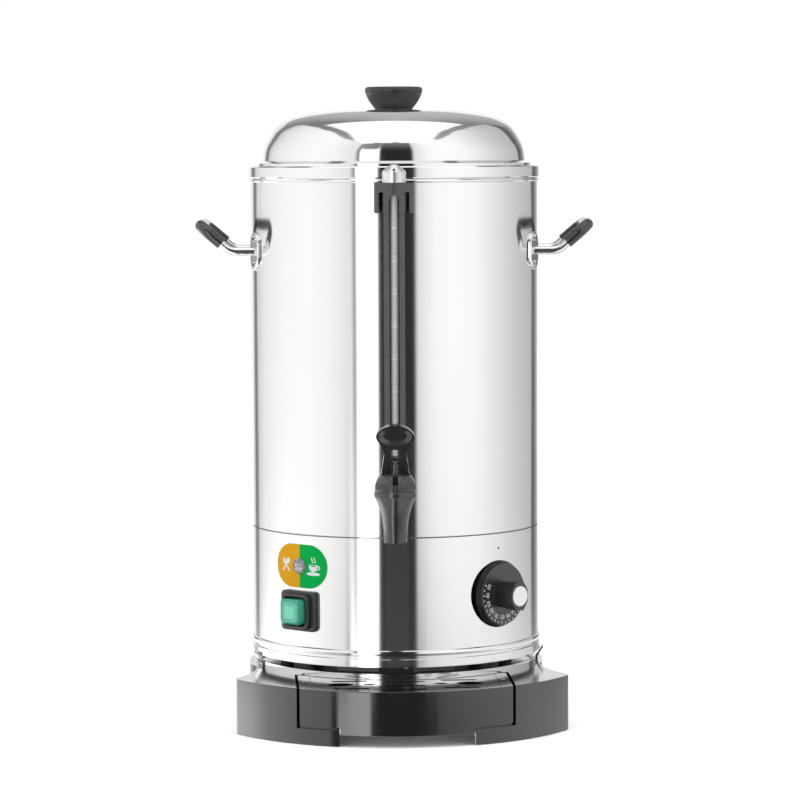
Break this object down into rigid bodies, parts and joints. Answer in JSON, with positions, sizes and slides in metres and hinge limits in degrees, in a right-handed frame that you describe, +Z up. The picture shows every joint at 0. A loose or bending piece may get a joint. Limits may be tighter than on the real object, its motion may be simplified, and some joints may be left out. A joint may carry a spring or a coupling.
{
  "type": "hot water urn",
  "caption": "Stainless steel catering hot water urn with a sight gauge, lever tap, thermostat dial, lift-off lid, side handles and a base with a slide-out drip tray.",
  "frame": {"origin": "on the urn's vertical axis, in the plane of the feet that the base stands on", "axes": "+Z up along the urn's axis, -Y to the front where the tap is, +X to the right seen from the front"},
  "size_m": [0.3574, 0.3404, 0.5695],
  "materials": {
    "gloss_black": "glossy black moulded plastic",
    "matte_black": "satin black moulded plastic",
    "steel": "brushed stainless steel",
    "bright_steel": "polished stainless steel",
    "screw_steel": "plated steel",
    "aluminium": "plain cast aluminium",
    "rubber": "black rubber",
    "seal": "pale silicone rubber",
    "glass": "clear drawn glass tube",
    "white_plastic": "white moulded plastic",
    "green_plastic": "translucent green plastic",
    "clear_plastic": "clear lamp lens",
    "label": "printed film, orange on the left and green on the right",
    "copper": "bare copper"
  },
  "bodies": {
    "base": {"base_shell": "gloss_black", "base_floor": "matte_black", "base_feet": "rubber", "base_screws": "screw_steel", "base_collar": "steel", "locating_lugs": "steel"},
    "tray": {"drip_tray": "gloss_black", "tray_screws": "screw_steel"},
    "grille": {"drip_grille": "gloss_black"},
    "urn": {"outer_shell": "steel", "rim_collar": "steel", "inner_tank": "steel", "tank_floor": "steel", "element_plate": "aluminium", "heating_element": "steel", "clamp_bar": "screw_steel", "clamp_hardware": "screw_steel", "thermal_cutout": "matte_black", "terminal_block": "white_plastic", "lower_shell": "steel", "bottom_flange": "steel", "bottom_plate": "steel", "urn_feet": "rubber", "tie_rods": "screw_steel", "tie_nuts": "screw_steel", "left_handle_rod": "bright_steel", "right_handle_rod": "bright_steel", "left_handle_grip": "matte_black", "right_handle_grip": "matte_black", "handle_plates": "bright_steel", "handle_screws": "screw_steel", "gauge_channel": "matte_black", "gauge_head": "matte_black", "gauge_tube": "glass", "gauge_seals": "seal", "gauge_fitting": "matte_black", "tap_body": "matte_black", "tap_bonnet": "matte_black", "tap_seals": "seal", "tap_nut": "white_plastic", "switch_bezel": "matte_black", "switch_body": "matte_black", "lamp_lens": "clear_plastic", "lamp_body": "white_plastic", "status_label": "label", "thermostat_body": "matte_black", "thermostat_bulb": "copper", "power_inlet": "matte_black"},
    "lid": {"lid_dome": "bright_steel", "lid_ring": "steel", "lid_knob": "matte_black", "lid_knob_screw": "screw_steel"},
    "cap": {"gauge_cap": "bright_steel"},
    "stem": {"tap_stem": "matte_black", "seat_cup": "seal"},
    "lever": {"tap_lever": "matte_black", "lever_pin": "screw_steel"},
    "dial": {"thermostat_knob": "gloss_black", "knob_cap": "white_plastic", "thermostat_shaft": "screw_steel"},
    "rocker": {"switch_button": "green_plastic"}
  },
  "joints": [
    {"name": "urn_lift", "type": "slide", "parent": "base", "child": "urn", "axis": [0, 0, 1], "range_m": [0, 0.06]},
    {"name": "tray_slide", "type": "slide", "parent": "base", "child": "tray", "axis": [0.0523, -0.9986, 0], "range_m": [0, 0.1]},
    {"name": "grille_lift", "type": "slide", "parent": "tray", "child": "grille", "axis": [0, 0, 1], "range_m": [0, 0.035]},
    {"name": "lid_lift", "type": "slide", "parent": "urn", "child": "lid", "axis": [0, 0, 1], "range_m": [0, 0.12]},
    {"name": "gauge_cap_lift", "type": "slide", "parent": "urn", "child": "cap", "axis": [0, 0, 1], "range_m": [0, 0.03]},
    {"name": "stem_lift", "type": "slide", "parent": "urn", "child": "stem", "axis": [0, 0, 1], "range_m": [0, 0.004]},
    {"name": "tap_lever", "type": "hinge", "parent": "stem", "child": "lever", "pos_m": [0, -0.188, 0.243], "axis": [1, 0, 0], "range_deg": [0, 35], "stiffness_Nm_per_rad": 0.35, "springref_deg": -11.46},
    {"name": "dial_turn", "type": "hinge", "parent": "urn", "child": "dial", "pos_m": [0.09168, -0.09329, 0.12], "axis": [0.7009, -0.7133, 0], "range_deg": [-270, 0]},
    {"name": "rocker_tilt", "type": "hinge", "parent": "urn", "child": "rocker", "pos_m": [-0.08655, -0.10098, 0.1065], "axis": [0.7593, -0.6508, 0], "range_deg": [-8, 8]}
  ],
  "couplings": [
    {"joint": "tap_lever", "follows": "stem_lift", "rad_per_m": 152.7}
  ]
}
